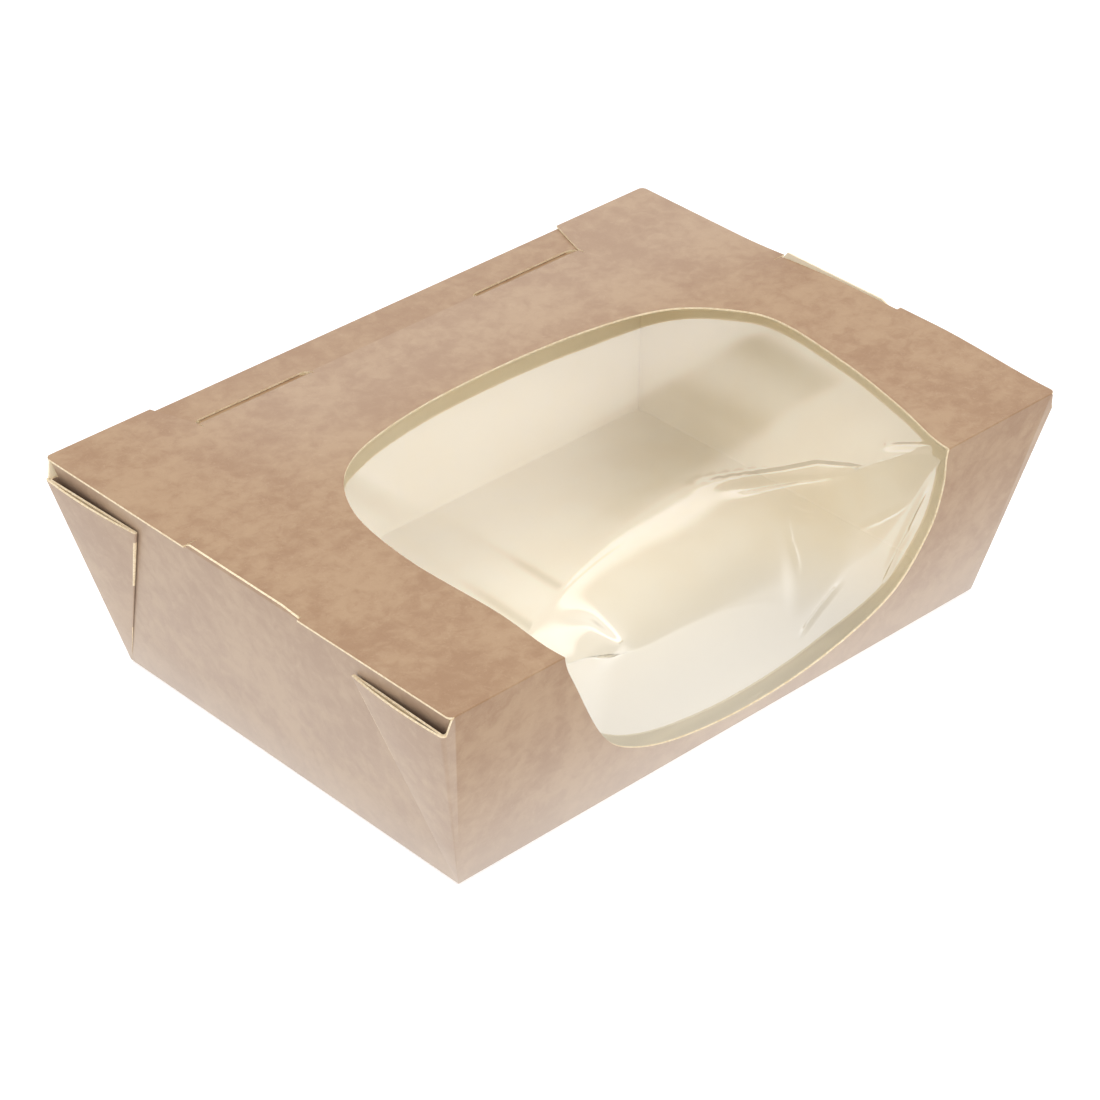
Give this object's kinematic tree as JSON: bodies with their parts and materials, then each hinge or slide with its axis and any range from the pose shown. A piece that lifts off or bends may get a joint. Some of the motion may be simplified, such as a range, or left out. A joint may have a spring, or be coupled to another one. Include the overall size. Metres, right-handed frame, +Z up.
{
  "type": "takeaway box",
  "caption": "Folded kraft card takeaway box with tapered walls, webbed corners, a hinged tuck-lock lid and a clear film window over lid and front wall.",
  "frame": {"origin": "centre of the box on the surface that it stands on", "axes": "+X along the front fold, to the right as seen from the window side; +Y towards the lock at the back; +Z up"},
  "size_m": [0.195, 0.14, 0.0593],
  "materials": {
    "kraft_card": "uncoated kraft outside, cream coated inside",
    "clear_film": "clear glossy film"
  },
  "bodies": {
    "tray": {"tray": "kraft_card", "window_film_front": "clear_film"},
    "lid": {"lid": "kraft_card", "window_film_lid": "clear_film"}
  },
  "joints": [
    {"name": "lid_hinge", "type": "hinge", "parent": "tray", "child": "lid", "pos_m": [0, -0.07, 0.0572], "axis": [1, 0, 0], "range_deg": [0, 180]}
  ]
}
